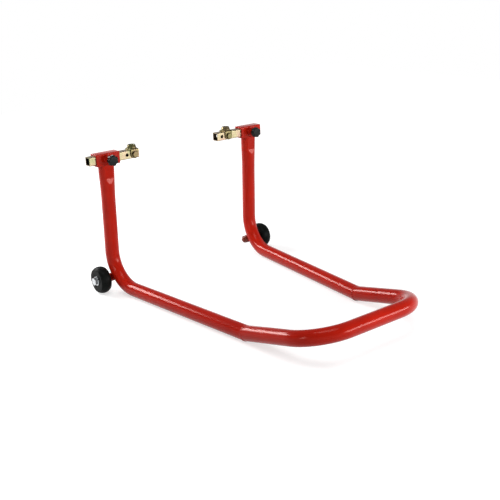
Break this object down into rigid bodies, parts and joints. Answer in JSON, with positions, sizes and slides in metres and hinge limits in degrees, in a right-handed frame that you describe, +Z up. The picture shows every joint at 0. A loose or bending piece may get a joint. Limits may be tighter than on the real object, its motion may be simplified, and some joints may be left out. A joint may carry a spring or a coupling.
{
  "type": "paddock stand",
  "caption": "Motorcycle paddock stand: bent red tube frame on small black wheels, clamped sliding arms with fork cups.",
  "frame": {"origin": "on the floor under the middle of the stand's bounding box", "axes": "+Z up; -Y towards the handle, so +Y along the length towards the wheels; +X along the axle line to the right"},
  "size_m": [0.5268, 0.7201, 0.3464],
  "materials": {
    "red_coat": "gloss red powder coat",
    "yellow_zinc": "yellow passivated zinc plating",
    "bright_zinc": "bright zinc plating",
    "wheel_rubber": "satin black solid rubber",
    "black_plastic": "black moulded plastic"
  },
  "bodies": {
    "frame": {"side_tube_left": "red_coat", "side_tube_right": "red_coat", "handle_tube": "red_coat", "sleeve_left": "red_coat", "sleeve_right": "red_coat", "weld_nut_left": "red_coat", "weld_nut_right": "red_coat", "axle_boss_left": "red_coat", "axle_boss_right": "red_coat", "axle_bolt_left": "bright_zinc", "axle_bolt_right": "bright_zinc", "axle_washer_left": "bright_zinc", "axle_washer_right": "bright_zinc", "axle_nut_left": "bright_zinc", "axle_nut_right": "bright_zinc"},
    "wheel_left_body": {"wheel_left": "wheel_rubber", "wheel_bush_left": "bright_zinc"},
    "arm_left_body": {"arm_left": "yellow_zinc", "saddle_left": "yellow_zinc", "fork_cup_left": "yellow_zinc", "saddle_bolt_left": "yellow_zinc", "saddle_nut_left": "yellow_zinc"},
    "clamp_left_body": {"clamp_screw_left": "bright_zinc", "knob_left": "black_plastic"},
    "wheel_right_body": {"wheel_right": "wheel_rubber", "wheel_bush_right": "bright_zinc"},
    "arm_right_body": {"arm_right": "yellow_zinc", "saddle_right": "yellow_zinc", "fork_cup_right": "yellow_zinc", "saddle_bolt_right": "yellow_zinc", "saddle_nut_right": "yellow_zinc"},
    "clamp_right_body": {"clamp_screw_right": "bright_zinc", "knob_right": "black_plastic"}
  },
  "joints": [
    {"name": "wheel_left_spin", "type": "hinge", "parent": "frame", "child": "wheel_left_body", "pos_m": [-0.25, 0.3275, 0.0325], "axis": [1, 0, 0], "continuous": true},
    {"name": "arm_left_slide", "type": "slide", "parent": "frame", "child": "arm_left_body", "axis": [1, 0, 0], "range_m": [-0.0035, 0.0315]},
    {"name": "clamp_left_turn", "type": "hinge", "parent": "frame", "child": "clamp_left_body", "pos_m": [-0.207, 0.29977, 0.325], "axis": [0, -1, 0], "range_deg": [0, 720]},
    {"name": "wheel_right_spin", "type": "hinge", "parent": "frame", "child": "wheel_right_body", "pos_m": [0.25, 0.3275, 0.0325], "axis": [1, 0, 0], "continuous": true},
    {"name": "arm_right_slide", "type": "slide", "parent": "frame", "child": "arm_right_body", "axis": [1, 0, 0], "range_m": [-0.019, 0.0035]},
    {"name": "clamp_right_turn", "type": "hinge", "parent": "frame", "child": "clamp_right_body", "pos_m": [0.207, 0.29977, 0.325], "axis": [0, -1, 0], "range_deg": [0, 720]}
  ]
}
